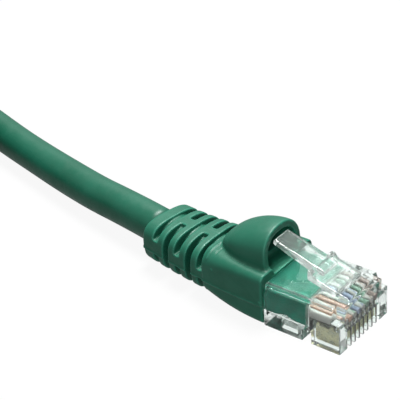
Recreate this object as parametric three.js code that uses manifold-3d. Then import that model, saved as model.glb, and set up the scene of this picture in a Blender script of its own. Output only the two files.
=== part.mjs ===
// Ethernet patch cable, both ends: clear 8P8C modular plugs with a snagless boot,
// joined by a round cord that is wound into a tied coil. Millimetres, +Z up.
// Origin: centre of plug A and its boot, on the surface they rest on. Plug A faces +X.

import * as THREE from 'three';
import { mergeVertices } from 'three/addons/utils/BufferGeometryUtils.js';
import Module from 'manifold-3d';

const wasm = await Module();
wasm.setup();

// ---------- driving dimensions ----------
const NOSE_X = 17.61;            // front face of plug A from the origin
const PLUG_WIDTH = 11.68;
const PLUG_HEIGHT = 6.6;
const PLUG_REAR = 12.25;         // length of the plug that stands out of the boot
const NECK_REAR = 16.2;          // rear end of the neck inside the boot
const PIN_PITCH = 1.02;
const PIN_COUNT = 8;
const SLOT_WIDTH = 0.64;
const CONTACT_THICK = 0.34;
const WIRE_DIAMETER = 0.9;
const WIRE_Z = 3.96;
const CORD_DIAMETER = 5.6;
const BOOT_FRONT = 12.4;
const BODY_REAR = 22.9;          // where the boot body steps down to the ribs
const BOOT_REAR = 34.5;
const BOOT_AXIS_Z = 3.75;
const BEND_START = 21.5;         // the boot's tail follows the cord sideways from here
const BEND_ANGLE = 9.5 * Math.PI / 180;
const RIB_PITCH = 2.1;
const RIB_SLOT = 1.0;
const RIB_COUNT = 5;
const SPINE_WIDTH = 1.8;
const LATCH_WIDTH = 6.0;
const STRIP_WIDTH = 3.3;
const HINGE_X = 2.2;
const GAP = 0.15;
const COIL_CENTRE = [-98.5, -22.2]; // from plug A's front face
const COIL_RADIUS = 28;
const COIL_BUNDLE = 11.2;        // two cords wide and two high
const COIL_BOTTOM = 1.2;

// Details of the plug: front and rear are distances behind its nose, bottom and top are heights.
const PLUG_CHAMFER = 0.3;
const LEAN_START = 5.0;          // the sides lean in from this height
const LEAN_INSET = 0.6;
const NECK = { halfWidth: 4.3, bottom: 1.3, top: 5.75, overlap: 0.5 };
const LATCH_ROOT = { front: 0.4, lip: 0.7, rear: 2.05, bottom: 6.4, edge: 6.9 };
const JACKET_CAVITY = { front: 5.4, halfWidth: 4.15, bottom: 1.75, top: 5.4 };
const WIRE_CHANNEL = { front: 1.0, rear: 5.6, halfWidth: 4.1, halfHeight: 0.55 };
const CONTACT_GROOVE = { front: 4.6, rear: 6.0, top: 2.0 };
const BAR_WINDOW = { front: 7.3, rear: 10.0, halfWidth: 3.9, top: 1.9 };
const FRONT_SHOULDER = { rear: 1.4, width: 1.45, bottom: 4.65 };
const BLADE_SLOT = { rear: 4.8, top: 2.85 };
const TOOTH_SLOT = { front: 1.2, bottom: 2.8, belowWires: 0.5 };
const BAR_OUTLINE = [[7.2, 0.4], [7.2, 1.3], [9.4, 1.62], [9.7, 1.2], [9.4, 0.5]];
const BAR_HALF_WIDTH = 3.7;

// The latch: its plate, the narrow release strip, and a locking step on each side of the strip.
const PLATE = { bottom: 6.88, heel: 3.3, rear: 7.05 };
const STRIP_FRONT = 5.0;
const STRIP_OUTLINE = [[5.2, 8.96], [13.3, 11.2], [13.5, 10.45], [7.0, 8.05]];
const STEP_FRONT = 5.5;
const STEP_OUTLINE = [[6.6, 9.3], [7.05, 9.3], [7.05, 8.0]];
const JOIN = 0.2;                // how far pieces of one moulding run into each other

// A contact: the blade, and two teeth whose tips reach up to the conductors.
const BLADE = { front: 0.7, rear: 4.5, bottom: 0.4, top: 2.7, corner: 0.3, frontTop: 2.6 };
const TOOTH_TIPS = [4.1, 2.0];
const TOOTH_HALF_WIDTH = 0.4;

const WIRE_END = 1.15;           // the conductors run from here into the jacket
const WIRE_BEND = 4.6;
const WIRE_REAR = 6.1;
const WIRE_GATHER = 0.93;        // how far the conductors draw together on the way
const JACKET_FRONT = 6.4;
const JACKET_FLAT = { halfWidth: 4.0, halfHeight: 1.68, centre: 3.55 };
const JACKET_TAPER = 4.5;

// The boot
const BODY = { halfWidth: 6.0, rearHalfWidth: 5.45, top: 7.65, rearBottom: 0.75 };
const TAIL = { halfWidth: 5.35, rearHalfWidth: 4.8, halfHeight: 3.72, rearHalfHeight: 3.55 };
const BORE_CLEARANCE = 0.25;
const SOCKET = { halfWidth: 4.45, bottom: 1.15, top: 5.9 };
const LATCH_WAY = { rear: 15.5, halfWidth: 2.9, bottom: 6.75, top: 9 };
const RIB_CORE = { wide: 3.5, high: 3.25, centre: BOOT_AXIS_Z };
const RIB_WEB = { below: 0.6, above: 0.5 };
const HOOD = {
  front: 12.9, domeStart: 14, domeLength: 8.2, rear: 21.9, halfWidth: 4.27, wall: 1.0,
  base: 7.7, rise: 5.1, bottom: 7.2, springing: 8.6, lean: 0.1, leanLength: 3,
};

const STRAP = { width: 8, outerWide: 7.0, outerHigh: 6.8, innerWide: 6.15, innerHigh: 5.95 };
const END_B = [-142.75, -46.4];  // nose of plug B from plug A's front face

// Cutting blocks run well past the faces that they open.
const PAST = 1;
const PAST_SIDE = 7;
const PAST_TOP = 12;
const PAST_BOTTOM = -3;

const half = PLUG_WIDTH / 2;
const bendLength = BOOT_REAR - BEND_START;
const bendRadius = bendLength / BEND_ANGLE;

// ---------- materials ----------
const finish = (color, roughness, metalness, opacity = 1) => new THREE.MeshStandardMaterial({
  color, roughness, metalness, opacity, transparent: opacity < 1,
});
const clearPlastic = finish(0xe4eeea, 0.1, 0, 0.4);
const bootGreen = finish(0x1f6b4a, 0.5, 0);
const jacketGreen = finish(0x236b50, 0.45, 0);
const contactGold = finish(0xb59a5a, 0.3, 1);
const tieBlack = finish(0x202224, 0.85, 0);
// T568B order, from pin 1
const wireColours = [0xf0e2d4, 0xd9762c, 0xe2ede2, 0x2a56a8, 0xdfe4ee, 0x2c8a4c, 0xe8ded6, 0x6b4630]
  .map((colour) => finish(colour, 0.45, 0));

// ---------- geometry helpers ----------
function solid(geometry) {
  const plain = geometry.clone();
  plain.deleteAttribute('normal');
  plain.deleteAttribute('uv');
  const merged = mergeVertices(plain, 1e-4);
  return new wasm.Manifold(new wasm.Mesh({
    numProp: 3,
    vertProperties: Float32Array.from(merged.attributes.position.array),
    triVerts: Uint32Array.from(merged.index.array),
  }));
}

function geometryOf(manifold) {
  const { vertProperties, triVerts } = manifold.getMesh();
  const geometry = new THREE.BufferGeometry();
  geometry.setAttribute('position', new THREE.BufferAttribute(Float32Array.from(vertProperties), 3));
  geometry.setIndex(new THREE.BufferAttribute(Uint32Array.from(triVerts), 1));
  geometry.computeVertexNormals();
  return geometry;
}

const join = (first, ...rest) => rest.reduce((sum, piece) => sum.add(piece), first);
const cut = (first, ...rest) => rest.reduce((sum, piece) => sum.subtract(piece), first);

// A box from x0 to x1 behind the nose (both positive), and between two y and two z.
function block(x0, x1, y0, y1, z0, z1) {
  const geometry = new THREE.BoxGeometry(x1 - x0, y1 - y0, z1 - z0);
  geometry.translate(-(x0 + x1) / 2, (y0 + y1) / 2, (z0 + z1) / 2);
  return solid(geometry);
}

// A side profile of [distance behind the nose, height] points, extruded across the plug.
function profile(points, y0, y1) {
  const shape = new THREE.Shape(points.map(([x, z]) => new THREE.Vector2(-x, z)));
  const geometry = new THREE.ExtrudeGeometry(shape, { depth: y1 - y0, bevelEnabled: false });
  geometry.rotateX(Math.PI / 2);
  geometry.translate(0, y1, 0);
  return solid(geometry);
}

// A cross-section of [y, z] points, extruded rearwards from x0 to x1 in equal steps.
function section(points, x0, x1, steps = 1) {
  const shape = new THREE.Shape(points.map(([y, z]) => new THREE.Vector2(y, z)));
  const geometry = new THREE.ExtrudeGeometry(shape, { depth: x1 - x0, steps, bevelEnabled: false });
  geometry.applyMatrix4(new THREE.Matrix4().makeBasis(
    new THREE.Vector3(0, 1, 0), new THREE.Vector3(0, 0, 1), new THREE.Vector3(1, 0, 0),
  ));
  geometry.translate(-x1, 0, 0);
  return geometry;
}

function reshape(geometry, move) {
  const position = geometry.attributes.position;
  const point = new THREE.Vector3();
  for (let i = 0; i < position.count; i += 1) {
    point.fromBufferAttribute(position, i);
    move(point);
    position.setXYZ(i, point.x, point.y, point.z);
  }
  return geometry;
}

// Points of a rounded outline |y|^power + |z|^power = 1.
function roundedOutline(power, count) {
  return Array.from({ length: count }, (_, i) => {
    const angle = (i + 0.5) * 2 * Math.PI / count;
    const c = Math.cos(angle);
    const s = Math.sin(angle);
    return [Math.sign(c) * Math.abs(c) ** (2 / power), Math.sign(s) * Math.abs(s) ** (2 / power)];
  });
}

// A rounded tube between two stations, whose half width, half height and centre height
// are given by sizeAt(distance behind the nose).
function rounded(power, count, x0, x1, steps, sizeAt) {
  return solid(reshape(section(roundedOutline(power, count), x0, x1, steps), (p) => {
    const size = sizeAt(-p.x);
    p.y *= size.wide;
    p.z = size.centre + p.z * size.high;
  }));
}

// The tail of the boot, and the cord in it, bend sideways on an arc.
function bendTail(p) {
  const past = -p.x - BEND_START;
  if (past <= 0) return;
  const angle = Math.min(past, bendLength) / bendRadius;
  const extra = Math.max(past - bendLength, 0);
  const y = p.y;
  p.x = -BEND_START - bendRadius * Math.sin(angle) - extra * Math.cos(angle) + y * Math.sin(angle);
  p.y = bendRadius * (1 - Math.cos(angle)) + extra * Math.sin(angle) + y * Math.cos(angle);
}

const lerp = (from, to, t) => from + (to - from) * Math.min(Math.max(t, 0), 1);
const pinY = (i) => (i - (PIN_COUNT - 1) / 2) * PIN_PITCH;

// ---------- the plug ----------
const latchTop = (x) => 6.95 + 0.25 * x;
const latchBottom = (x) => 6.0 + 0.265 * x;

function plugBody() {
  const shell = solid(section([
    [-half + PLUG_CHAMFER, 0], [half - PLUG_CHAMFER, 0], [half, PLUG_CHAMFER], [half, LEAN_START],
    [half - LEAN_INSET, PLUG_HEIGHT], [-half + LEAN_INSET, PLUG_HEIGHT], [-half, LEAN_START],
    [-half, PLUG_CHAMFER],
  ], 0, PLUG_REAR));
  const neck = block(
    PLUG_REAR - NECK.overlap, NECK_REAR, -NECK.halfWidth, NECK.halfWidth, NECK.bottom, NECK.top,
  );
  const root = profile([
    [LATCH_ROOT.front, LATCH_ROOT.bottom], [LATCH_ROOT.front, LATCH_ROOT.edge],
    [LATCH_ROOT.lip, latchTop(LATCH_ROOT.lip)], [LATCH_ROOT.rear, latchTop(LATCH_ROOT.rear)],
    [LATCH_ROOT.rear, LATCH_ROOT.bottom],
  ], -LATCH_WIDTH / 2, LATCH_WIDTH / 2);
  const jacketCavity = block(
    JACKET_CAVITY.front, NECK_REAR + PAST, -JACKET_CAVITY.halfWidth, JACKET_CAVITY.halfWidth,
    JACKET_CAVITY.bottom, JACKET_CAVITY.top,
  );
  const wireChannel = block(
    WIRE_CHANNEL.front, WIRE_CHANNEL.rear, -WIRE_CHANNEL.halfWidth, WIRE_CHANNEL.halfWidth,
    WIRE_Z - WIRE_CHANNEL.halfHeight, WIRE_Z + WIRE_CHANNEL.halfHeight,
  );
  const groove = block(
    CONTACT_GROOVE.front, CONTACT_GROOVE.rear, -PAST_SIDE, PAST_SIDE, -PAST, CONTACT_GROOVE.top,
  );
  const barWindow = block(
    BAR_WINDOW.front, BAR_WINDOW.rear, -BAR_WINDOW.halfWidth, BAR_WINDOW.halfWidth, -PAST, BAR_WINDOW.top,
  );
  const { rear, width, bottom } = FRONT_SHOULDER;
  const cuts = [
    jacketCavity, wireChannel, groove, barWindow,
    block(-PAST, rear, half - width, PAST_SIDE, bottom, PAST_TOP),
    block(-PAST, rear, -PAST_SIDE, width - half, bottom, PAST_TOP),
  ];
  for (let i = 0; i < PIN_COUNT; i += 1) {
    const y0 = pinY(i) - SLOT_WIDTH / 2;
    const y1 = pinY(i) + SLOT_WIDTH / 2;
    cuts.push(block(-PAST, BLADE_SLOT.rear, y0, y1, -PAST, BLADE_SLOT.top));
    cuts.push(block(
      TOOTH_SLOT.front, BLADE_SLOT.rear, y0, y1, TOOTH_SLOT.bottom, WIRE_Z - TOOTH_SLOT.belowWires,
    ));
  }
  const bar = profile(BAR_OUTLINE, -BAR_HALF_WIDTH, BAR_HALF_WIDTH);
  return join(cut(join(shell, neck, root), ...cuts), bar);
}

function latch() {
  const side = LATCH_WIDTH / 2;
  const stripSide = STRIP_WIDTH / 2;
  const front = HINGE_X + GAP;
  const plate = profile([
    [front, PLATE.bottom], [front, latchTop(front)], [PLATE.rear, latchTop(PLATE.rear)],
    [PLATE.rear, latchBottom(PLATE.rear)], [PLATE.heel, latchBottom(PLATE.heel)],
  ], -side, side);
  const strip = profile(
    [[STRIP_FRONT, latchTop(STRIP_FRONT) - JOIN], ...STRIP_OUTLINE], -stripSide, stripSide,
  );
  const step = [[STEP_FRONT, latchTop(STEP_FRONT) - JOIN / 2], ...STEP_OUTLINE];
  return join(plate, strip, profile(step, stripSide - JOIN, side), profile(step, -side, JOIN - stripSide));
}

function contact(i) {
  const y = pinY(i);
  const crown = WIRE_Z - WIRE_DIAMETER / 2 - GAP;
  const teeth = TOOTH_TIPS.flatMap((tip) => [
    [tip + TOOTH_HALF_WIDTH, BLADE.top], [tip, crown], [tip - TOOTH_HALF_WIDTH, BLADE.top],
  ]);
  return profile([
    [BLADE.front, BLADE.bottom + BLADE.corner], [BLADE.front + BLADE.corner, BLADE.bottom],
    [BLADE.rear - BLADE.corner, BLADE.bottom], [BLADE.rear, BLADE.bottom + BLADE.corner],
    ...teeth, [BLADE.front, BLADE.frontTop],
  ], y - CONTACT_THICK / 2, y + CONTACT_THICK / 2);
}

function conductor(i) {
  const y = pinY(i);
  const path = new THREE.CurvePath();
  [[-WIRE_END, y, WIRE_Z], [-WIRE_BEND, y, WIRE_Z], [-WIRE_REAR, y * WIRE_GATHER, WIRE_Z - 0.1]]
    .map((point) => new THREE.Vector3(...point))
    .forEach((point, k, points) => {
      if (k > 0) path.add(new THREE.LineCurve3(points[k - 1], point));
    });
  return solid(tube(path, WIRE_DIAMETER, 6, 3));
}

// The jacket inside the plug is pressed to a flat oval, and round again in the boot.
// clear is the room left around it.
function jacketShape(x0, x1, steps, clear) {
  const radius = CORD_DIAMETER / 2;
  return rounded(2.6, 16, x0, x1, steps, (x) => {
    const t = (x - NECK_REAR) / JACKET_TAPER;
    return {
      wide: lerp(JACKET_FLAT.halfWidth, radius, t) + clear,
      high: lerp(JACKET_FLAT.halfHeight, radius, t) + clear,
      centre: lerp(JACKET_FLAT.centre, BOOT_AXIS_Z, t),
    };
  });
}

// ---------- the boot ----------
const hoodLength = (x) => Math.max((x - HOOD.domeStart) / HOOD.domeLength, 0);
const hoodRise = (x) => HOOD.rise * (1 - Math.min(hoodLength(x), 0.97) ** 1.6) ** (1 / 1.6);
const hoodWidth = (x) => HOOD.halfWidth * (1 - Math.min(hoodLength(x), 0.97) ** 2.6) ** (1 / 2.4);

// The hood over the latch tip: an arch that closes to the rear as a dome. inset thins it to
// its hollow.
function hood(inset, x0) {
  const arch = [[-1, -0.4]];
  for (let i = 0; i <= 12; i += 1) {
    const angle = Math.PI - i * Math.PI / 12;
    const c = Math.cos(angle);
    arch.push([Math.sign(c) * Math.abs(c) ** 0.85, Math.sin(angle) ** 0.85]);
  }
  arch.push([1, -0.4]);
  return solid(reshape(section(arch, x0, HOOD.rear - inset, 8), (p) => {
    const x = -p.x;
    const top = hoodRise(x + inset) + HOOD.base;
    p.y *= Math.max(hoodWidth(x + inset) - inset, 0.3);
    p.z = p.z < 0 ? HOOD.bottom : HOOD.springing + p.z * Math.max(top - inset - HOOD.springing, 0.2);
    p.x -= HOOD.lean * (p.z - HOOD.base) * Math.max(1 - (x - x0) / HOOD.leanLength, 0);
  }));
}

// One ring slot of the strain relief, cut down to a core. The slots alternate: one runs over
// the top and the underside and leaves a web on each side, and the next one runs down both
// sides and leaves a spine on the top and the underside.
function ribSlot(index) {
  const front = BODY_REAR + index * RIB_PITCH;
  const rear = front + RIB_SLOT;
  const core = rounded(2.2, 16, front - PAST, rear + PAST, 1, () => RIB_CORE);
  const kept = index % 2 === 0
    ? [-PAST_SIDE, PAST_SIDE, BOOT_AXIS_Z - RIB_WEB.below, BOOT_AXIS_Z + RIB_WEB.above]
    : [-SPINE_WIDTH / 2, SPINE_WIDTH / 2, PAST_BOTTOM, PAST_TOP];
  const slot = block(front, rear, -PAST_SIDE, PAST_SIDE, PAST_BOTTOM, PAST_TOP);
  return cut(slot, core, block(front - PAST, rear + PAST, ...kept));
}

function boot() {
  const body = rounded(7, 28, BOOT_FRONT, BODY_REAR, 4, (x) => {
    const t = (x - BOOT_FRONT) / (BODY_REAR - BOOT_FRONT);
    const floor = lerp(0, BODY.rearBottom, t * t);
    return {
      wide: lerp(BODY.halfWidth, BODY.rearHalfWidth, t * t),
      high: (BODY.top - floor) / 2,
      centre: (BODY.top + floor) / 2,
    };
  });
  const tail = rounded(3.6, 20, BODY_REAR - PAST, BOOT_REAR, 8, (x) => {
    const t = (x - BODY_REAR) / (BOOT_REAR - BODY_REAR);
    return {
      wide: lerp(TAIL.halfWidth, TAIL.rearHalfWidth, t),
      high: lerp(TAIL.halfHeight, TAIL.rearHalfHeight, t),
      centre: BOOT_AXIS_Z,
    };
  });
  const front = BOOT_FRONT - PAST;
  const cuts = [
    jacketShape(NECK_REAR - PAST, BOOT_REAR + PAST, 14, BORE_CLEARANCE),
    block(front, NECK_REAR + GAP, -SOCKET.halfWidth, SOCKET.halfWidth, SOCKET.bottom, SOCKET.top),
    block(front, LATCH_WAY.rear, -LATCH_WAY.halfWidth, LATCH_WAY.halfWidth, LATCH_WAY.bottom, LATCH_WAY.top),
    hood(HOOD.wall, BOOT_FRONT - 0.4),
  ];
  for (let i = 0; i < RIB_COUNT; i += 1) cuts.push(ribSlot(i));
  const whole = cut(join(body, tail, hood(0, HOOD.front)), ...cuts);
  return solid(reshape(geometryOf(whole), bendTail));
}

// ---------- the cord ----------
function tube(path, diameter, sides, steps) {
  const shape = new THREE.Shape(Array.from({ length: sides }, (_, i) => {
    const angle = (i + 0.5) * 2 * Math.PI / sides;
    return new THREE.Vector2(Math.cos(angle) * diameter / 2, Math.sin(angle) * diameter / 2);
  }));
  return new THREE.ExtrudeGeometry(shape, { extrudePath: path, steps, bevelEnabled: false });
}

// The run from boot A to the coil, as points from plug A's front face.
const runPoints = [
  [-34.75, 1.2, 3.75], [-38.6, 1.85, 3.75], [-44.6, 2.9, 3.55], [-49.3, 3.75, 3.3], [-54.3, 4.85, 3.1],
  [-59.6, 6.1, 2.95], [-64.9, 7.4, 2.85], [-70.5, 8.8, 2.8], [-76.4, 10.4, 2.8], [-82.5, 12.0, 3.0],
  [-88, 13.2, 3.4], [-91, 13.75, 3.65],
];
// The run from the coil to boot B: it leaves the top of the coil and comes down beside it.
const tailPoints = [
  [-110.2, 12.9, 9.3], [-114.5, 12.1, 8.7], [-120.0, 11.1, 7.6], [-126.5, 8.7, 6.2], [-132.4, 4.8, 5.0],
  [-137.2, -0.6, 4.2], [-140.3, -6.6, 3.8], [-141.58, -11.45, 3.75],
];

function cordTube(points) {
  const stations = points.map((point) => new THREE.Vector3(...point));
  const curve = new THREE.CatmullRomCurve3(stations, false, 'centripetal');
  const steps = Math.ceil(curve.getLength() / (2.5 * CORD_DIAMETER)) * 2;
  return solid(tube(curve, CORD_DIAMETER, 8, steps));
}

function coilRing() {
  const side = COIL_BUNDLE / 2;
  const corner = 2.0;
  const outline = [
    [-side, corner - side], [corner - side, -side], [side - corner, -side], [side, corner - side],
    [side, side - corner], [side - corner, side], [corner - side, side], [-side, side - corner],
    [-side, corner - side],
  ].map(([r, z]) => new THREE.Vector2(COIL_RADIUS + r, COIL_BOTTOM + side + z));
  const geometry = new THREE.LatheGeometry(outline, 40);
  geometry.rotateX(Math.PI / 2);
  geometry.translate(COIL_CENTRE[0], COIL_CENTRE[1], 0);
  return solid(geometry);
}

// A strap around the bundle of turns, on the side of the coil that faces -Y.
function coilTie() {
  const ring = (wide, high, length) => block(
    -COIL_CENTRE[0] - length / 2, -COIL_CENTRE[0] + length / 2,
    COIL_CENTRE[1] - COIL_RADIUS - wide, COIL_CENTRE[1] - COIL_RADIUS + wide,
    COIL_BOTTOM + COIL_BUNDLE / 2 - high, COIL_BOTTOM + COIL_BUNDLE / 2 + high,
  );
  const outside = ring(STRAP.outerWide, STRAP.outerHigh, STRAP.width);
  return cut(outside, ring(STRAP.innerWide, STRAP.innerHigh, STRAP.width + 2 * PAST));
}

// ---------- assembly ----------
function part(name, manifold, material) {
  const mesh = new THREE.Mesh(geometryOf(manifold), material);
  mesh.name = name;
  return mesh;
}

function plugEnd(end) {
  const group = new THREE.Group();
  const jacket = solid(reshape(geometryOf(jacketShape(JACKET_FRONT, BOOT_REAR, 14, 0)), bendTail));
  group.add(part(`plug_body_${end}`, plugBody(), clearPlastic));
  group.add(part(`latch_${end}`, latch(), clearPlastic));
  group.add(part(`boot_${end}`, boot(), bootGreen));
  group.add(part(`jacket_end_${end}`, jacket, jacketGreen));
  for (let i = 0; i < PIN_COUNT; i += 1) {
    group.add(part(`contact_${i + 1}_${end}`, contact(i), contactGold));
    group.add(part(`conductor_${i + 1}_${end}`, conductor(i), wireColours[i]));
  }
  return group;
}

const endA = plugEnd('a');

// Plug B lies beside the coil and faces -Y, its cord leaving towards +Y.
const endB = plugEnd('b');
endB.rotation.z = -Math.PI / 2;
endB.position.set(END_B[0], END_B[1], 0);

const cable = new THREE.Group();
cable.add(endA, endB);
cable.add(part('cord_run', cordTube(runPoints), jacketGreen));
cable.add(part('cord_coil', coilRing(), jacketGreen));
cable.add(part('cord_tail', cordTube(tailPoints), jacketGreen));
cable.add(part('coil_tie', coilTie(), tieBlack));
cable.position.x = NOSE_X;
cable.updateMatrixWorld(true);

export default cable;
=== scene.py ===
"""Ethernet patch cable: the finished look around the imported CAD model.

Each end is built in its plug's own frame, in millimetres: x runs from the plug's front face
(rearwards is negative, or "behind" when it is counted as a positive distance), y across the
plug towards pin 8, and z up from the surface that it lies on.
"""

import math

import bpy
import numpy as np
import openvdb
from mathutils import Matrix, Vector


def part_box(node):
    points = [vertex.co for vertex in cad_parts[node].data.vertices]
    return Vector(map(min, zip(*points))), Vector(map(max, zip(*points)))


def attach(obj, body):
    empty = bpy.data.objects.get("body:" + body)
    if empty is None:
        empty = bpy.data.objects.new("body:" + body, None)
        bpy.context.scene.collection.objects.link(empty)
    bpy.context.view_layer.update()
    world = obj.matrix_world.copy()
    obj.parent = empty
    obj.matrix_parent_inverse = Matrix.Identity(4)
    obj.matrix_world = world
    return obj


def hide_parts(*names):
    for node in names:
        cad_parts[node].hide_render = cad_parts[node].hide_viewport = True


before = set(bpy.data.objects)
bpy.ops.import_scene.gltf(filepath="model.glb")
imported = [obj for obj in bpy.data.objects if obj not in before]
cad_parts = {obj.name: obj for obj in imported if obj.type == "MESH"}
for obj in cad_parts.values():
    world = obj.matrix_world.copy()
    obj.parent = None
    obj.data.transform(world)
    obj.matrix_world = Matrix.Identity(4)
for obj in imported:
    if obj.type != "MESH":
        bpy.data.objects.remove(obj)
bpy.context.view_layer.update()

MM = 0.001
ENDS = ("a", "b")
PINS = range(1, 9)

# ---------- sizes, in millimetres ----------
# Most are the CAD model's. The jacket's front end and flat part, the boot's tail and the plug's
# cavity are fitted more closely to each other here.
PLUG_HALF_WIDTH = 5.84
PLUG_HEIGHT = 6.6
PLUG_REAR = 12.25
NECK_REAR = 16.2
PIN_PITCH = 1.02
SLOT_HALF_WIDTH = 0.32
WIRE_RADIUS = 0.45
WIRE_Z = 3.96
CORD_RADIUS = 2.8
FLAT_HALF_WIDTH = 4.22           # the jacket where the plug presses it flat
FLAT_HALF_HEIGHT = 1.82
FLAT_Z = 3.55
FLAT_POWER = 9                   # how square its flat part is, where 2 is an ellipse
PRESS_DEPTH = 0.28               # how far the plug's bar presses its underside in, as a share
PRESS_PLACE = 9.3
PRESS_SPREAD = 0.9
JACKET_FRONT = 5.95
JACKET_ROUND = 4.5               # over this length behind the neck the jacket turns round again

# The boot
BOOT_FRONT = 12.4
BODY_REAR = 22.9
BOOT_REAR = 34.5
BOOT_TOP = 7.65
BODY_HALF_WIDTH = 6.0
BODY_NARROWING = 0.55
BODY_RISE = 0.75                 # how far its underside rises towards the rear
TAIL_HALF_WIDTH = 5.3
TAIL_HALF_HEIGHT = 3.6
TAIL_NARROWING = 0.75
TAIL_LOWERING = 0.35
AXIS_Z = 3.75
PARTING_Z = 3.2
FLASH_DEPTH = 0.2
FLASH_SPREAD = 0.17
UPPER_OVERHANG = 0.1
BEND_START = 21.5
BEND_ANGLE = math.radians(9.5)
BEND_LENGTH = BOOT_REAR - BEND_START
BEND_RADIUS = BEND_LENGTH / BEND_ANGLE
RIB_PITCH = 2.1
RIB_SLOT = 1.0
RIB_COUNT = 5
RIB_CORE_HALF_WIDTH = 3.3
RIB_CORE_HALF_HEIGHT = 3.05
SPINE_HALF_WIDTH = 0.9
HOOD_BASE_Z = 7.7
HOOD_HALF_WIDTH = 4.27
HOOD_RISE = 5.1
HOOD_WALL = 1.0
HOOD_RIM = 12.91
HOOD_RIM_LEAN = 0.103
HOOD_DOME_START = 14
HOOD_DOME_LENGTH = 8.2
HOOD_REAR = 22.0
HOOD_BOTTOM = 7.0
HOLLOW_BOTTOM = 7.4
LATCH_WAY_REAR = 15.5
LATCH_WAY_HALF_WIDTH = 2.9
LATCH_WAY_BOTTOM = 6.75
LATCH_WAY_TOP = 9
BORE_FRONT = 16
BORE_CLEARANCE = 0.08
CUT_FRONT = 10                   # cuts into the boot's front end start here, in front of it

# The plug: front and rear are distances behind the nose, bottom and top are heights.
NECK_HALF_WIDTH = 4.3
NECK_BOTTOM = 1.3
NECK_TOP = 5.75
SOCKET_GAP = 0.15                # between the neck and the boot's socket, on every side
LEAN_START = 5.0                 # the plug's sides lean in from this height
LEAN_SLOPE = (1.6, 0.6)
CAVITY_FRONT = 5.4
CAVITY_HALF_WIDTH = 4.15
CAVITY_BOTTOM = 1.8
CAVITY_TOP = 5.3
GROOVE_FRONT = 4.6
GROOVE_REAR = 6.0
GROOVE_TOP = 2.0
WINDOW_FRONT = 7.3
WINDOW_REAR = 10.0
WINDOW_HALF_WIDTH = 3.9
WINDOW_TOP = 1.9
SHOULDER_REAR = 1.4
SHOULDER_WIDTH = 1.45
SHOULDER_BOTTOM = 4.65
BLADE_SLOT_REAR = 4.8
BLADE_SLOT_TOP = 2.85
TOOTH_SLOT_FRONT = 1.2
TOOTH_SLOT_BOTTOM = 2.7
ROOT_FRONT = 0.4
ROOT_REAR = 2.05
ROOT_BOTTOM = 6.4
BAR_FRONT = 7.1
BAR_REAR = 9.7
BAR_HALF_WIDTH = 3.7
BAR_BOTTOM = 0.4

# The latch
LATCH_HALF_WIDTH = 3.0
PLATE_FRONT = 2.35
PLATE_REAR = 7.05
PLATE_BOTTOM = 6.88
STRIP_HALF_WIDTH = 1.65
STRIP_FRONT = 4.7
STRIP_REAR = 13.4
STRIP_END_Z = 10.8
STEP_FRONT = 5.0
STEP_BOTTOM = 8.0
STEP_TOP = 9.3

PAST = 1                         # cuts run this far past the face that they open

# The coil
COIL_RADIUS_OUT = 30.8
COIL_RADIUS_IN = 25.2
COIL_LOW_Z = 4.0
COIL_HIGH_Z = 9.6
CLIMB_INWARD = 0.5               # how far a turn leans inwards as it climbs, for each unit of height

# Points round each lofted section, faces of a stripe, and steps of the strap round the bundle
WIRE_SIDES = 20
STRIPE_FACES = (3, 4)
JACKET_SIDES = 48
CORD_SIDES = 28
STRAP_STEPS = 96

# The strap round the coil
STRAP_THICKNESS = 0.5
STRAP_START = 10                 # steps round the bundle, from its inner side
STRAP_LAP = 22                   # steps that its end runs on over its start
STRAP_LIFT = 0.62

# ---------- the camera: the photograph's viewing angle ----------
CAMERA_AZIMUTH = math.radians(39.355)
CAMERA_ELEVATION = math.radians(31.698)
CAMERA_ROLL = math.radians(-3.179)
CAMERA_LENS = 149.23
CAMERA_PLACE = Vector((0.11464, -0.15123, 0.13271))


def add_camera():
    azimuth, elevation = CAMERA_AZIMUTH, CAMERA_ELEVATION
    back = Vector((
        math.sin(azimuth) * math.cos(elevation),
        -math.cos(azimuth) * math.cos(elevation),
        math.sin(elevation),
    ))
    level = Vector((math.cos(azimuth), math.sin(azimuth), 0))
    above = back.cross(level)
    right = math.cos(CAMERA_ROLL) * level + math.sin(CAMERA_ROLL) * above
    up = math.cos(CAMERA_ROLL) * above - math.sin(CAMERA_ROLL) * level
    data = bpy.data.cameras.new("camera")
    data.lens = CAMERA_LENS
    data.sensor_width = 36
    data.clip_start = 0.01
    camera = bpy.data.objects.new("camera", data)
    camera.matrix_world = Matrix.Translation(CAMERA_PLACE) @ Matrix((right, up, back)).transposed().to_4x4()
    bpy.context.collection.objects.link(camera)
    bpy.context.scene.camera = camera


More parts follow.
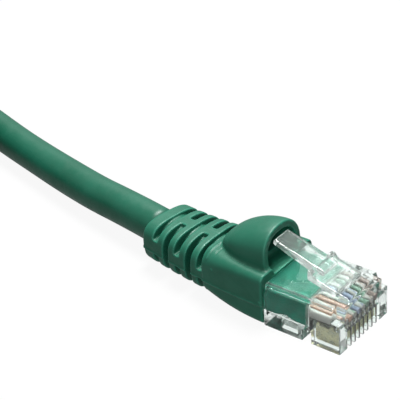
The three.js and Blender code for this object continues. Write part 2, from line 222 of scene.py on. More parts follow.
# ---------- floor and light ----------
def add_stage():
    bpy.ops.mesh.primitive_plane_add(size=6)
    floor = bpy.context.object
    floor.name = "floor"
    floor.location.z = -0.0001
    surface = Surface("pale_floor", (0.03, 0.03, 0.03), roughness=0.9)
    surface.shader.inputs["Specular IOR Level"].default_value = 0
    surface.shader.inputs["Emission Color"].default_value = (1, 1, 1, 1)
    surface.shader.inputs["Emission Strength"].default_value = 0.92
    floor.data.materials.append(surface.material)
    # It is as bright as a light table, and the object is lit by the studio and not by the table.
    floor.visible_diffuse = False
    floor.visible_glossy = False

    world = bpy.data.worlds.new("studio")
    world.use_nodes = True
    background = world.node_tree.nodes["Background"]
    background.inputs["Color"].default_value = (1, 1, 1, 1)
    background.inputs["Strength"].default_value = 0.42
    bpy.context.scene.world = world
    bpy.context.scene.view_settings.view_transform = "Standard"

    # name, direction it comes from, distance, size across, power in watts
    lamps = (
        ("overhead", (-0.1, 0.3, 1.0), 0.5, 0.24, 6.6),
        ("back", (-0.54, 0.66, 0.6), 0.7, 0.4, 0.3),
        ("front_fill", (0.5, -1.0, 0.6), 0.8, 0.5, 2.8),
    )
    for name, direction, distance, size, power in lamps:
        data = bpy.data.lights.new(name, "AREA")
        data.shape = "DISK"
        data.size = size
        data.energy = power
        lamp = bpy.data.objects.new(name, data)
        way = Vector(direction).normalized()
        lamp.location = way * distance
        lamp.rotation_euler = (-way).to_track_quat("-Z", "Y").to_euler()
        bpy.context.collection.objects.link(lamp)


# ---------- materials ----------
class Surface:
    """A Principled material whose colour, roughness and relief are put together from noise."""

    def __init__(self, name, colour, roughness=0.5, metallic=0.0):
        self.material = bpy.data.materials.new(name)
        self.material.use_nodes = True
        self.nodes = self.material.node_tree.nodes
        self.links = self.material.node_tree.links
        self.shader = self.nodes["Principled BSDF"]
        self.shader.inputs["Base Color"].default_value = (*colour, 1)
        self.shader.inputs["Roughness"].default_value = roughness
        self.shader.inputs["Metallic"].default_value = metallic
        self.place = self.nodes.new("ShaderNodeTexCoord").outputs["Object"]

    def noise(self, size, detail=3.0, stretch=(1, 1, 1)):
        """Noise with features about size metres across, drawn out along an axis by stretch."""
        mapping = self.nodes.new("ShaderNodeMapping")
        mapping.inputs["Scale"].default_value = [1 / factor for factor in stretch]
        self.links.new(self.place, mapping.inputs["Vector"])
        noise = self.nodes.new("ShaderNodeTexNoise")
        noise.inputs["Scale"].default_value = 1 / size
        noise.inputs["Detail"].default_value = detail
        self.links.new(mapping.outputs["Vector"], noise.inputs["Vector"])
        return noise.outputs["Fac"]

    def spread(self, value, low, high, start=0.3, end=0.7):
        """Carries value from start..end to low..high."""
        node = self.nodes.new("ShaderNodeMapRange")
        node.inputs["From Min"].default_value = start
        node.inputs["From Max"].default_value = end
        node.inputs["To Min"].default_value = low
        node.inputs["To Max"].default_value = high
        self.links.new(value, node.inputs["Value"])
        return node.outputs["Result"]

    def mix(self, factor, first, second):
        node = self.nodes.new("ShaderNodeMix")
        node.data_type = "RGBA"
        self.links.new(factor, node.inputs["Factor"])
        for socket, colour in ((node.inputs["A"], first), (node.inputs["B"], second)):
            if isinstance(colour, tuple):
                socket.default_value = (*colour, 1)
            else:
                self.links.new(colour, socket)
        return node.outputs["Result"]

    def edges(self):
        """A mask for a painted highlight: 0 on flat and hollow surfaces, 1 on raised edges."""
        geometry = self.nodes.new("ShaderNodeNewGeometry")
        return self.spread(geometry.outputs["Pointiness"], 0, 1, 0.5, 0.56)

    def colour(self, value):
        self.links.new(value, self.shader.inputs["Base Color"])

    def roughness(self, value):
        self.links.new(value, self.shader.inputs["Roughness"])

    def relief(self, *heights):
        """Bumps stacked on each other, each given as (height value, depth in metres)."""
        normal = None
        for value, depth in heights:
            bump = self.nodes.new("ShaderNodeBump")
            bump.inputs["Distance"].default_value = depth
            self.links.new(value, bump.inputs["Height"])
            if normal is not None:
                self.links.new(normal, bump.inputs["Normal"])
            normal = bump.outputs["Normal"]
        self.links.new(normal, self.shader.inputs["Normal"])


def boot_material():
    surface = Surface("boot_vinyl", (0.02, 0.15, 0.09))
    cloudy = surface.spread(surface.noise(3 * MM), 0, 1)
    body = surface.mix(cloudy, (0.005, 0.069, 0.040), (0.008, 0.084, 0.051))
    # Raised edges are painted a lighter green: a painted highlight along the edges.
    surface.colour(surface.mix(surface.edges(), body, (0.014, 0.14, 0.09)))
    surface.roughness(surface.spread(surface.noise(0.8 * MM), 0.38, 0.55))
    surface.relief((surface.noise(0.12 * MM, 4), 0.012 * MM), (surface.noise(1.6 * MM), 0.04 * MM))
    surface.shader.inputs["Specular IOR Level"].default_value = 0.3
    return surface.material


def jacket_material():
    surface = Surface("jacket_vinyl", (0.02, 0.15, 0.09))
    cloudy = surface.spread(surface.noise(6 * MM), 0, 1)
    surface.colour(surface.mix(cloudy, (0.005, 0.062, 0.036), (0.007, 0.076, 0.046)))
    surface.shader.inputs["Specular IOR Level"].default_value = 0.32
    surface.roughness(surface.spread(surface.noise(1.2 * MM), 0.34, 0.48))
    surface.relief((surface.noise(0.2 * MM, 4), 0.008 * MM), (surface.noise(3 * MM), 0.06 * MM))
    return surface.material


def clear_material(name, cloudiness):
    surface = Surface(name, (0.86, 0.93, 0.90))
    surface.shader.inputs["Transmission Weight"].default_value = 1 - cloudiness
    surface.shader.inputs["IOR"].default_value = 1.55
    surface.shader.inputs["Specular IOR Level"].default_value = 0.3
    surface.roughness(surface.spread(surface.noise(1.5 * MM), 0.04, 0.1))
    surface.relief((surface.noise(0.5 * MM, 3), 0.01 * MM), (surface.noise(1.8 * MM, 2), 0.03 * MM))
    let_light_through(surface)
    return surface.material


def let_light_through(surface):
    """Lamps light what is inside the clear plastic."""
    light_path = surface.nodes.new("ShaderNodeLightPath")
    clear = surface.nodes.new("ShaderNodeBsdfTransparent")
    clear.inputs["Color"].default_value = (0.9, 0.95, 0.93, 1)
    mix = surface.nodes.new("ShaderNodeMixShader")
    surface.links.new(light_path.outputs["Is Shadow Ray"], mix.inputs["Fac"])
    surface.links.new(surface.shader.outputs["BSDF"], mix.inputs[1])
    surface.links.new(clear.outputs["BSDF"], mix.inputs[2])
    surface.links.new(mix.outputs["Shader"], surface.nodes["Material Output"].inputs["Surface"])


def pressed_jacket_material():
    """The jacket where the plastic holds it, more vivid because no air lies between them."""
    surface = Surface("pressed_jacket", (0.005, 0.13, 0.085))
    cloudy = surface.spread(surface.noise(1.5 * MM), 0, 1)
    surface.colour(surface.mix(cloudy, (0.001, 0.062, 0.041), (0.003, 0.09, 0.06)))
    surface.shader.inputs["Specular IOR Level"].default_value = 0.05
    surface.roughness(surface.spread(surface.noise(0.6 * MM), 0.3, 0.5))
    surface.relief((surface.noise(1.0 * MM), 0.05 * MM))
    return surface.material


def gold_material():
    surface = Surface("contact_gold", (0.75, 0.63, 0.38), metallic=1.0)
    streaks = surface.noise(0.15 * MM, 5, stretch=(6, 1, 1))
    worn = surface.spread(surface.noise(0.9 * MM), 0, 1, 0.45, 0.65)
    surface.colour(surface.mix(worn, (0.40, 0.35, 0.22), (0.29, 0.27, 0.20)))
    surface.roughness(surface.spread(streaks, 0.2, 0.42))
    surface.relief((streaks, 0.006 * MM))
    return surface.material


def wire_material(name, colour):
    surface = Surface(f"insulation_{name}", colour)
    darker = tuple(0.82 * channel for channel in colour)
    surface.colour(surface.mix(surface.spread(surface.noise(0.7 * MM), 0, 1), darker, colour))
    surface.roughness(surface.spread(surface.noise(0.5 * MM), 0.28, 0.42))
    surface.relief((surface.noise(0.25 * MM), 0.008 * MM))
    return surface.material


def strap_material():
    surface = Surface("hook_and_loop", (0.02, 0.02, 0.022))
    weave = surface.noise(0.35 * MM, 5)
    surface.colour(surface.mix(surface.spread(weave, 0, 1), (0.010, 0.010, 0.012), (0.045, 0.045, 0.05)))
    surface.roughness(surface.spread(weave, 0.75, 0.95))
    surface.relief((weave, 0.12 * MM))
    surface.shader.inputs["Sheen Weight"].default_value = 0.3
    return surface.material


# ---------- solids from distance fields ----------
class Field:
    """A grid of points, in millimetres, on which shapes are signed distances: below 0 inside."""

    def __init__(self, low, high, step):
        self.low = np.array(low, float)
        self.step = step
        axes = [np.arange(first, last + step, step) for first, last in zip(low, high)]
        self.x, self.y, self.z = np.meshgrid(*axes, indexing="ij", sparse=True)
        self.shape = tuple(len(axis) for axis in axes)

    def box(self, x, y, z, corner=0.0):
        """A box between the two values given for each axis, with rounded edges."""
        sides = []
        for place, (first, last) in ((self.x, x), (self.y, y), (self.z, z)):
            sides.append(np.abs(place - (first + last) / 2) - (last - first) / 2 + corner)
        outside = np.sqrt(sum(np.maximum(side, 0) ** 2 for side in sides))
        inside = np.minimum(np.maximum(np.maximum(sides[0], sides[1]), sides[2]), 0)
        return outside + inside - corner

    def scaled(self, value):
        """Turns a field that is 0 on a surface into a distance from that surface."""
        slopes = np.gradient(np.broadcast_to(value, self.shape), self.step)
        return value / np.maximum(np.sqrt(sum(slope ** 2 for slope in slopes)), 0.02)

    def mesh(self, distance, name):
        """The surface, with x turned from a distance behind the nose into a place."""
        grid = openvdb.FloatGrid()
        grid.copyFromArray(np.ascontiguousarray(np.broadcast_to(distance, self.shape), np.float32))
        points, quads = grid.convertToQuads(isovalue=0.0)
        points = points * self.step + self.low
        points[:, 0] *= -1
        return make_mesh(name, points, quads[:, ::-1])


def both(first, second, corner=0.0):
    """Where two shapes overlap, with the edge between them rounded."""
    if corner == 0:
        return np.maximum(first, second)
    rounded = np.hypot(np.maximum(first + corner, 0), np.maximum(second + corner, 0))
    return np.minimum(np.maximum(first, second), -corner) + rounded


def either(first, second, fillet=0.0):
    """Two shapes joined, with a fillet in the corner between them."""
    return -both(-first, -second, fillet)


def without(first, second, corner=0.0):
    return both(first, -second, corner)


def between(place, low, high):
    return np.maximum(low - place, place - high)


def rounded_section(field, half_width, low, high, corner):
    across = np.abs(field.y) - half_width + corner
    upward = np.abs(field.z - (low + high) / 2) - (high - low) / 2 + corner
    outside = np.hypot(np.maximum(across, 0), np.maximum(upward, 0))
    return outside + np.minimum(np.maximum(across, upward), 0) - corner


def oval_section(field, half_width, half_height, centre, power):
    across = np.abs(field.y) / half_width
    upward = np.abs(field.z - centre) / half_height
    return field.scaled((across ** power + upward ** power) ** (1 / power) - 1)


def below_line(field, x0, z0, x1, z1):
    """Negative below the line from one side-view point to another, x0 being less than x1."""
    length = math.hypot(x1 - x0, z1 - z0)
    return ((field.z - z0) * (x1 - x0) - (field.x - x0) * (z1 - z0)) / length


# ---------- meshes ----------
def make_mesh(name, points, faces):
    mesh = bpy.data.meshes.new(name)
    mesh.from_pydata(np.asarray(points, float).tolist(), [], np.asarray(faces).tolist())
    mesh.shade_smooth()
    return mesh


def loft(name, rings):
    """A closed skin over rings that all have the same number of points."""
    rings = np.asarray(rings, float)
    count, around = rings.shape[:2]
    faces = []
    for i in range(count - 1):
        for j in range(around):
            k = (j + 1) % around
            low, high = i * around, (i + 1) * around
            faces.append((low + j, low + k, high + k, high + j))
    faces.append(tuple(reversed(range(around))))
    faces.append(tuple(range((count - 1) * around, count * around)))
    mesh = bpy.data.meshes.new(name)
    mesh.from_pydata(rings.reshape(-1, 3).tolist(), [], faces)
    mesh.shade_smooth()
    mesh.polygons[-1].use_smooth = False
    mesh.polygons[-2].use_smooth = False
    return mesh


def smooth_path(points, spacing):
    """Points about spacing apart on a smooth curve through the given ones."""
    points = np.asarray(points, float)
    padded = np.vstack([2 * points[0] - points[1], points, 2 * points[-1] - points[-2]])
    knots = np.concatenate([[0], np.cumsum(np.linalg.norm(np.diff(padded, axis=0), axis=1) ** 0.5)])
    path = []
    for i in range(1, len(padded) - 2):
        t0, t1, t2, t3 = knots[i - 1:i + 3]
        steps = max(1, round(np.linalg.norm(padded[i + 1] - padded[i]) / spacing))
        for t in t1 + (t2 - t1) * np.arange(steps)[:, None] / steps:
            a1 = padded[i - 1] * (t1 - t) / (t1 - t0) + padded[i] * (t - t0) / (t1 - t0)
            a2 = padded[i] * (t2 - t) / (t2 - t1) + padded[i + 1] * (t - t1) / (t2 - t1)
            a3 = padded[i + 1] * (t3 - t) / (t3 - t2) + padded[i + 2] * (t - t2) / (t3 - t2)
            b1 = a1 * (t2 - t) / (t2 - t0) + a2 * (t - t0) / (t2 - t0)
            b2 = a2 * (t3 - t) / (t3 - t1) + a3 * (t - t1) / (t3 - t1)
            path.append(b1 * (t2 - t) / (t2 - t1) + b2 * (t - t1) / (t2 - t1))
    return np.array(path + [points[-1]])


def round_rings(path, radii, around, twist=0.0):
    """Rings of a round tube along path. They turn with the path, plus twist per unit of length."""
    path = np.asarray(path, float)
    along = np.gradient(path, axis=0)
    along /= np.linalg.norm(along, axis=1)[:, None]
    steps = np.concatenate([[0], np.cumsum(np.linalg.norm(np.diff(path, axis=0), axis=1))])
    side = np.cross((0.0, 0.0, 1.0), along[0])
    rings = []
    for place, way, radius, done in zip(path, along, np.broadcast_to(radii, len(path)), steps):
        side = side - side.dot(way) * way
        side /= np.linalg.norm(side)
        up = np.cross(way, side)
        angles = twist * done + np.arange(around) * 2 * math.pi / around
        rings.append(place + radius * (np.cos(angles)[:, None] * side + np.sin(angles)[:, None] * up))
    return rings


def bend_tail(points):
    """The boot's tail, and the cord in it, bend sideways on an arc."""
    points = np.array(points, float)
    x, y = points[..., 0].copy(), points[..., 1].copy()
    past = np.maximum(-x - BEND_START, 0)
    angle = np.minimum(past, BEND_LENGTH) / BEND_RADIUS
    extra = np.maximum(past - BEND_LENGTH, 0)
    points[..., 0] = x + past - BEND_RADIUS * np.sin(angle) - extra * np.cos(angle) + y * np.sin(angle)
    points[..., 1] = BEND_RADIUS * (1 - np.cos(angle)) + extra * np.sin(angle) + y * np.cos(angle)
    return points


def bend_mesh(mesh):
    places = np.zeros(len(mesh.vertices) * 3)
    mesh.vertices.foreach_get("co", places)
    mesh.vertices.foreach_set("co", bend_tail(places.reshape(-1, 3)).ravel())
    mesh.update()
    return mesh


def end_place(end):
    """From the plug's own frame, in millimetres, to the model's frame, in metres."""
    low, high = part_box(f"plug_body_{end}")
    middle = (low + high) / 2
    if end == "a":
        return Matrix.Translation((high.x, middle.y, 0)) @ Matrix.Scale(MM, 4)
    turn = Matrix.Rotation(-math.pi / 2, 4, "Z")
    return Matrix.Translation((middle.x, low.y, 0)) @ turn @ Matrix.Scale(MM, 4)


def add_piece(name, mesh, place, body, nodes, materials):
    mesh = mesh.copy()
    mesh.name = name
    mesh.transform(place)
    for material in materials:
        mesh.materials.append(material)
    piece = bpy.data.objects.new(name, mesh)
    bpy.context.collection.objects.link(piece)
    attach(piece, body)
    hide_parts(*nodes)
    return piece


# ---------- the boot ----------
def grid_step(fine):
    return fine


def hood_field(field, inset):
    """The arch over the latch tip, closing to the rear as a dome. inset thins it to its hollow."""
    reach = np.clip((field.x + inset - HOOD_DOME_START) / HOOD_DOME_LENGTH, 0, 1)
    half_width = np.maximum(HOOD_HALF_WIDTH * (1 - reach ** 2.6) ** (1 / 2.4) - inset, 0.05)
    rise = HOOD_RISE * (1 - reach ** 1.6) ** (1 / 1.6)
    springing = HOOD_BASE_Z + 0.25 * rise
    arch = np.maximum(HOOD_BASE_Z + rise - inset - springing, 0.05)
    upward = np.maximum(field.z - springing, 0) / arch
    across = np.abs(field.y) / half_width
    return field.scaled((across ** 2.2 + upward ** 2.2) ** (1 / 2.2) - 1)


def rib_slots(field, tail):
    """Cuts the slots between the rings of the strain relief. Every second one runs over the top and
    leaves a web on each side, and the others run down the sides and leave a spine on the top."""
    core = oval_section(field, RIB_CORE_HALF_WIDTH, RIB_CORE_HALF_HEIGHT, AXIS_Z, 2.2)
    for index in range(RIB_COUNT):
        front = BODY_REAR + index * RIB_PITCH
        slot = between(field.x, front, front + RIB_SLOT)
        if index % 2 == 0:
            kept = between(field.z, PARTING_Z, 4.5 + 0.2 * index)
        else:
            kept = np.abs(field.y) - SPINE_HALF_WIDTH
        tail = without(tail, without(without(slot, kept, 0.25), core, 0.15), 0.13)
    return tail


def boot_outside(field):
    """The body, and the tail with its slots."""
    # The upper half of the mould is a little wider, with a line of flash where the halves met.
    flash = FLASH_DEPTH * np.exp(-((field.z - PARTING_Z) / FLASH_SPREAD) ** 2)
    seam = flash + UPPER_OVERHANG * np.clip((field.z - PARTING_Z) / 0.1, 0, 1)

    down = np.clip((field.x - BOOT_FRONT) / (BODY_REAR - BOOT_FRONT), 0, 1) ** 2
    half_width = BODY_HALF_WIDTH - BODY_NARROWING * down
    section = rounded_section(field, half_width, BODY_RISE * down, BOOT_TOP, 1.0 + 1.3 * down)
    body = both(section - seam, between(field.x, BOOT_FRONT, BODY_REAR), 0.2)

    down = np.clip((field.x - BODY_REAR) / (BOOT_REAR - BODY_REAR), 0, 1)
    half_width = TAIL_HALF_WIDTH - TAIL_NARROWING * down
    half_height = TAIL_HALF_HEIGHT - TAIL_LOWERING * down
    section = oval_section(field, half_width, half_height, AXIS_Z, 3.3)
    tail = both(section - seam, between(field.x, BODY_REAR - 1, BOOT_REAR), 0.5)
    return either(body, rib_slots(field, tail))


def boot_mesh():
    field = Field((11.8, -6.6, -0.5), (35.2, 6.6, 13.4), grid_step(0.125))
    rim = HOOD_RIM + HOOD_RIM_LEAN * (field.z - HOOD_BASE_Z) - field.x
    hood = both(hood_field(field, 0), rim, 0.22)
    hood = both(hood, both(HOOD_BOTTOM - field.z, field.x - HOOD_REAR))
    shell = either(boot_outside(field), hood, 0.4)

    socket_side = NECK_HALF_WIDTH + SOCKET_GAP
    socket_heights = (NECK_BOTTOM - SOCKET_GAP, NECK_TOP + SOCKET_GAP)
    hollow = both(hood_field(field, HOOD_WALL), HOLLOW_BOTTOM - field.z, 0.3)
    latch_way = field.box(
        (CUT_FRONT, LATCH_WAY_REAR), (-LATCH_WAY_HALF_WIDTH, LATCH_WAY_HALF_WIDTH),
        (LATCH_WAY_BOTTOM, LATCH_WAY_TOP), 0.3,
    )
    socket = field.box((CUT_FRONT, NECK_REAR + SOCKET_GAP), (-socket_side, socket_side), socket_heights, 0.3)
    bore_radius = CORD_RADIUS + BORE_CLEARANCE
    bore = oval_section(field, bore_radius, bore_radius, AXIS_Z, 2)
    bore = both(bore, between(field.x, BORE_FRONT, BODY_REAR))
    shell = without(shell, hollow, 0.22)
    shell = without(shell, latch_way, 0.15)
    shell = without(shell, socket, 0.1)
    shell = without(shell, bore, 0.25)
    return bend_mesh(field.mesh(shell, "boot"))


# ---------- the clear plug ----------
def plug_outside(field, across):
    """The housing with its leaning sides, the neck that the boot grips, and the latch's root."""
    section = both(between(field.z, 0, PLUG_HEIGHT), across - PLUG_HALF_WIDTH, 0.25)
    out, up = LEAN_SLOPE
    slope = ((across - PLUG_HALF_WIDTH) * out + (field.z - LEAN_START) * up) / math.hypot(out, up)
    housing = both(both(section, slope, 0.1), between(field.x, 0, PLUG_REAR), 0.14)
    neck_side = (-NECK_HALF_WIDTH, NECK_HALF_WIDTH)
    neck = field.box((PLUG_REAR - 0.5, NECK_REAR), neck_side, (NECK_BOTTOM, NECK_TOP), 0.2)
    root = both(between(field.x, ROOT_FRONT, ROOT_REAR), across - LATCH_HALF_WIDTH, 0.12)
    root = both(both(root, ROOT_BOTTOM - field.z), below_line(field, 0.7, 7.125, ROOT_REAR, 7.46), 0.15)
    return either(either(housing, neck, 0.1), root, 0.25)


def contact_slots(field):
    """One slot for each blade, open at the front and below, and a narrower one up to the wire."""
    slots = None
    for pin in PINS:
        side = np.abs(field.y - pin_y(pin)) - SLOT_HALF_WIDTH
        blade = both(both(side, between(field.z, -PAST, BLADE_SLOT_TOP)), field.x - BLADE_SLOT_REAR)
        teeth = both(side, between(field.x, TOOTH_SLOT_FRONT, BLADE_SLOT_REAR))
        teeth = both(teeth, between(field.z, TOOTH_SLOT_BOTTOM, WIRE_Z - 0.5))
        slot = either(blade, teeth)
        slots = slot if slots is None else either(slots, slot)
    return slots


def plug_mesh():
    field = Field((-0.5, -6.3, -0.5), (16.7, 6.3, 8.0), grid_step(0.1))
    across = np.abs(field.y)
    cavity_side = (-CAVITY_HALF_WIDTH, CAVITY_HALF_WIDTH)
    cavity = field.box((CAVITY_FRONT, NECK_REAR + PAST), cavity_side, (CAVITY_BOTTOM, CAVITY_TOP), 0.25)
    groove = field.box((GROOVE_FRONT, GROOVE_REAR), (-7, 7), (-PAST, GROOVE_TOP), 0.15)
    window_side = (-WINDOW_HALF_WIDTH, WINDOW_HALF_WIDTH)
    window = field.box((WINDOW_FRONT, WINDOW_REAR), window_side, (-PAST, WINDOW_TOP), 0.15)
    shoulder = both(field.x - SHOULDER_REAR, PLUG_HALF_WIDTH - SHOULDER_WIDTH - across)
    shoulder = both(shoulder, SHOULDER_BOTTOM - field.z)

    shell = without(plug_outside(field, across), cavity, 0.05)
    shell = without(shell, groove, 0.1)
    shell = without(shell, window, 0.1)
    shell = without(shell, shoulder, 0.12)
    shell = without(shell, contact_slots(field), 0.05)
    bar = both(between(field.x, BAR_FRONT, BAR_REAR), across - BAR_HALF_WIDTH, 0.1)
    bar = both(bar, below_line(field, 7.2, 1.3, 9.4, 1.62), 0.15)
    bar = both(bar, BAR_BOTTOM - field.z, 0.15)
    return field.mesh(either(shell, bar), "clear_plug")


def latch_mesh():
    """The plate from the root, the narrow release strip, and a locking step on each side of it."""
    field = Field((1.9, -3.5, 6.2), (14.0, 3.5, 11.8), grid_step(0.085))
    across = np.abs(field.y)
    plate = both(below_line(field, 2, 7.45, 7, 8.7), -below_line(field, 3.3, 6.874, 7.05, 7.868))
    plate = both(both(plate, PLATE_BOTTOM - field.z), between(field.x, PLATE_FRONT, PLATE_REAR), 0.12)
    plate = both(plate, across - LATCH_HALF_WIDTH, 0.15)

    strip = both(below_line(field, 5.2, 8.96, 13.3, 11.2), -below_line(field, 7.0, 8.05, 13.5, 10.45), 0.12)
    ends = between(field.x + 0.27 * (field.z - STRIP_END_Z), STRIP_FRONT, STRIP_REAR)
    strip = both(both(strip, ends, 0.15), across - STRIP_HALF_WIDTH, 0.14)
    strip = both(strip, -below_line(field, 3.3, 7.3, 7.05, 8.2))

    step = both(below_line(field, 5.5, 8.2, 6.6, 9.3), field.z - STEP_TOP, 0.2)
    step = both(both(step, between(field.x, STEP_FRONT, PLATE_REAR), 0.15), across - LATCH_HALF_WIDTH, 0.25)
    step = both(both(step, STRIP_HALF_WIDTH - 0.2 - across), STEP_BOTTOM - field.z)
    return field.mesh(either(either(plate, strip, 0.1), step, 0.08), "clear_latch")


def pin_y(pin):
    return (pin - 4.5) * PIN_PITCH


# ---------- what the plug holds ----------
WIRE_COLOURS = {
    "orange": (0.22, 0.13, 0.10),
    "green": (0.07, 0.12, 0.09),
    "blue": (0.09, 0.105, 0.155),
    "brown": (0.11, 0.085, 0.075),
    "white": (0.22, 0.215, 0.205),
}
# Insulation from pin 1 to pin 8; a pair's second colour is a stripe along a white wire.
WIRES = (
    ("white", "orange"), ("orange",), ("white", "green"), ("blue",),
    ("white", "blue"), ("green",), ("white", "brown"), ("brown",),
)


def wire_mesh(pin, striped):
    y = pin_y(pin)
    path = smooth_path([
        (-1.15, y, WIRE_Z), (-3.0, y, WIRE_Z), (-4.6, y * 0.995, WIRE_Z), (-5.5, y * 0.96, WIRE_Z - 0.05),
        (-6.35, y * 0.92, WIRE_Z - 0.1),
    ], 0.12)
    radii = np.full(len(path), WIRE_RADIUS)
    radii[0] *= 0.86
    mesh = loft("wire", round_rings(path, radii, WIRE_SIDES, twist=0.35))
    if striped:
        for index, face in enumerate(mesh.polygons):
            if index % WIRE_SIDES in STRIPE_FACES:
                face.material_index = 1
    return mesh


def jacket_mesh():
    """The end of the cord's jacket: round in the boot, and pressed to a flat oval in the plug."""
    front, rear = JACKET_FRONT, BOOT_REAR + 0.25
    rounded_end = [front, front + 0.02, front + 0.1]
    stations = np.concatenate([rounded_end, np.arange(front + 0.3, rear, 0.4), [rear]])
    angles = np.arange(JACKET_SIDES) * 2 * math.pi / JACKET_SIDES
    rings = []
    for behind in stations:
        t = min(max((behind - NECK_REAR) / JACKET_ROUND, 0), 1)
        flat = t * t * (3 - 2 * t)
        shrink = 0.12 * max(0, 1 - (behind - front) / 0.1)
        half_width = FLAT_HALF_WIDTH + (CORD_RADIUS - FLAT_HALF_WIDTH) * flat - shrink
        half_height = FLAT_HALF_HEIGHT + (CORD_RADIUS - FLAT_HALF_HEIGHT) * flat - shrink
        centre = FLAT_Z + (AXIS_Z - FLAT_Z) * flat
        power = FLAT_POWER + (2.0 - FLAT_POWER) * flat
        press = PRESS_DEPTH * math.exp(-((behind - PRESS_PLACE) / PRESS_SPREAD) ** 2)
        c, s = np.cos(angles), np.sin(angles)
        y = half_width * np.sign(c) * np.abs(c) ** (2 / power)
        z = half_height * np.sign(s) * np.abs(s) ** (2 / power)
        z = centre + np.where(z < 0, z * (1 - press), z)
        rings.append(np.stack([np.full_like(y, -behind), y, z], axis=1))
    mesh = bend_mesh(loft("jacket_tip", rings))
    for index, face in enumerate(mesh.polygons):
        if stations[min(index // JACKET_SIDES, len(stations) - 1)] > NECK_REAR:
            face.material_index = 1
    return mesh


# ---------- the cord ----------
# The CAD model's route in metres, with x from plug A's front face, on each side of the coil's turns.
RUN_POINTS = (
    (-0.03475, 0.0012, 0.00375), (-0.0386, 0.00185, 0.00375), (-0.0446, 0.0029, 0.00355),
    (-0.0493, 0.00375, 0.0033), (-0.0543, 0.00485, 0.0031), (-0.0596, 0.0061, 0.00295),
    (-0.0649, 0.0074, 0.00285), (-0.0705, 0.0088, 0.0028), (-0.0764, 0.0104, 0.0028),
    (-0.0825, 0.0120, 0.0030), (-0.0880, 0.0132, 0.0034),
)
TAIL_POINTS = (
    (-0.1145, 0.0121, 0.0087), (-0.1200, 0.0111, 0.0076), (-0.1265, 0.0087, 0.0062),
    (-0.1324, 0.0048, 0.0050), (-0.1372, -0.0006, 0.0042), (-0.1403, -0.0066, 0.0038),
    (-0.14158, -0.01145, 0.00375),
)
COIL_CENTRE = (-0.0985, -0.0222)
# Angle in degrees round the coil, radius and height in millimetres at each change.
COIL_CHANGES = (
    (78, 36.7, 3.65), (150, COIL_RADIUS_OUT, COIL_LOW_Z),
    (438, COIL_RADIUS_OUT, COIL_LOW_Z), (510, COIL_RADIUS_IN, COIL_LOW_Z),
    (798, COIL_RADIUS_IN, COIL_LOW_Z), (870, COIL_RADIUS_IN, COIL_HIGH_Z),
    (1100, COIL_RADIUS_IN, COIL_HIGH_Z), (1158, COIL_RADIUS_OUT, COIL_HIGH_Z),
    (1460, COIL_RADIUS_OUT, COIL_HIGH_Z), (1518, 36.45, COIL_HIGH_Z),
    (1548, 37.0, 9.3),
)


def coil_points():
    """Four turns, lower outer, lower inner, upper inner and upper outer."""
    points = []
    for (a0, r0, z0), (a1, r1, z1) in zip(COIL_CHANGES, COIL_CHANGES[1:]):
        steps = max(2, round((a1 - a0) / 12))
        for i in range(steps):
            t = i / steps
            eased = t * t * (3 - 2 * t)
            angle = math.radians(a0 + (a1 - a0) * t)
            inward = CLIMB_INWARD * abs(z1 - z0) * math.sin(math.pi * t)
            radius = (r0 + (r1 - r0) * eased - inward) * MM
            points.append((
                COIL_CENTRE[0] + radius * math.cos(angle),
                COIL_CENTRE[1] + radius * math.sin(angle),
                (z0 + (z1 - z0) * eased) * MM,
            ))
    return points


def add_cord(jacket):
    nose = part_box("plug_body_a")[1].x
    route = [*RUN_POINTS, *coil_points(), *TAIL_POINTS]
    path = smooth_path(np.array(route) + (nose, 0, 0), 1.2 * MM)
    along = np.concatenate([[0], np.cumsum(np.linalg.norm(np.diff(path, axis=0), axis=1))])
    lumps = 0.012 * np.sin(along / (7.1 * MM)) + 0.006 * np.sin(along / (3.3 * MM) + 1) - 0.018
    fade = np.clip(np.minimum(along, along[-1] - along) / (4 * MM), 0, 1)
    radii = CORD_RADIUS * MM * (1 + lumps * fade)
    rings = round_rings(path, radii, CORD_SIDES)
    cord = add_piece(
        "cord", loft("cord", rings), Matrix.Identity(4), "cable",
        ("cord_run", "cord_coil", "cord_tail"), [jacket],
    )
    return cord, path, float(along[-1])


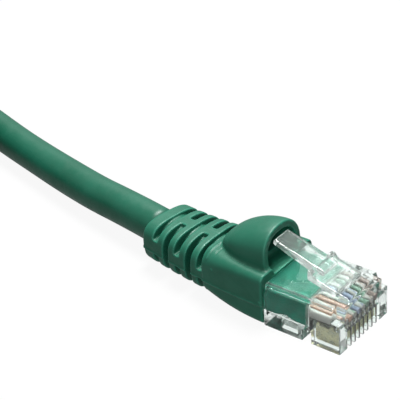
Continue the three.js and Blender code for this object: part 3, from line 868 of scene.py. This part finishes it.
# ---------- the strap round the coil ----------
def strap_mesh():
    """A hook-and-loop strap round the bundle, its end lapped over itself on the top."""
    low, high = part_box("coil_tie")
    middle = (low + high) / 2
    half_y = (high.y - low.y) / 2 - 0.45 * MM
    half_z = (high.z - low.z) / 2 - 0.45 * MM
    half_length = (high.x - low.x) / 2
    thickness = STRAP_THICKNESS * MM
    outline = []
    for i in range(STRAP_STEPS):
        turn = i / STRAP_STEPS * 2 * math.pi
        way = Vector((math.cos(turn), math.sin(turn)))
        reach = 1 / (abs(way.x / half_y) ** 5 + abs(way.y / half_z) ** 5) ** 0.2
        outline.append(way * reach)
    laps = STRAP_STEPS + STRAP_LAP
    rings = []
    for i in range(laps):
        spot = outline[(STRAP_START + i) % STRAP_STEPS]
        before = outline[(STRAP_START + i - 1) % STRAP_STEPS]
        ahead = outline[(STRAP_START + i + 1) % STRAP_STEPS] - before
        normal = Vector((ahead.y, -ahead.x)).normalized()
        lift = STRAP_LIFT * MM * min(max((i - STRAP_STEPS + 4) / 5, 0), 1)
        taper = 1 - 0.25 * max(0, (i - (laps - 5)) / 5) ** 2
        ring = []
        for side, out in ((-1, 0), (-1, 0.5), (-0.97, 1), (0.97, 1), (1, 0.5), (1, 0)):
            place = spot + normal * (lift - thickness * (0.5 - out) - 0.1 * MM)
            ring.append((middle.x + side * half_length * taper, middle.y + place.x, middle.z + place.y))
        rings.append(ring)
    return loft("coil_strap", rings)


# ---------- assembly ----------
def gilded(blade, gold):
    """A contact from the CAD model, with its own finish and worn edges."""
    blade.data.materials.clear()
    blade.data.materials.append(gold)
    bevel = blade.modifiers.new("worn_edges", "BEVEL")
    bevel.width = 0.05 * MM
    bevel.segments = 2
    return blade


def build():
    jacket = jacket_material()
    boot = boot_material()
    clear = clear_material("clear_polycarbonate", 0.006)
    cloudy = clear_material("cloudy_polycarbonate", 0.03)
    pressed = pressed_jacket_material()
    gold = gold_material()
    insulation = {name: wire_material(name, colour) for name, colour in WIRE_COLOURS.items()}
    meshes = {"boot": boot_mesh(), "plug": plug_mesh(), "latch": latch_mesh(), "jacket": jacket_mesh()}

    for end in ENDS:
        place = end_place(end)
        made = [
            add_piece(
                f"boot_shell_{end}", meshes["boot"], place, "cable", [f"boot_{end}"], [boot],
            ),
            add_piece(
                f"clear_plug_{end}", meshes["plug"], place, "cable", [f"plug_body_{end}"],
                [clear],
            ),
            add_piece(
                f"clear_latch_{end}", meshes["latch"], place, f"latch_{end}", [f"latch_{end}"],
                [cloudy],
            ),
            add_piece(
                f"jacket_tip_{end}", meshes["jacket"], place, "cable", [f"jacket_end_{end}"],
                [pressed, jacket],
            ),
        ]
        for pin, colours in zip(PINS, WIRES):
            made.append(add_piece(
                f"wire_{pin}_{end}", wire_mesh(pin, len(colours) == 2), place, "cable",
                [f"conductor_{pin}_{end}"],
                [insulation[colour] for colour in colours],
            ))
            made.append(gilded(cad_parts[f"contact_{pin}_{end}"], gold))

    strap = add_piece(
        "coil_strap", strap_mesh(), Matrix.Identity(4), "cable", ["coil_tie"],
        [strap_material()],
    )
    cord, path, length = add_cord(jacket)


add_camera()
add_stage()
build()
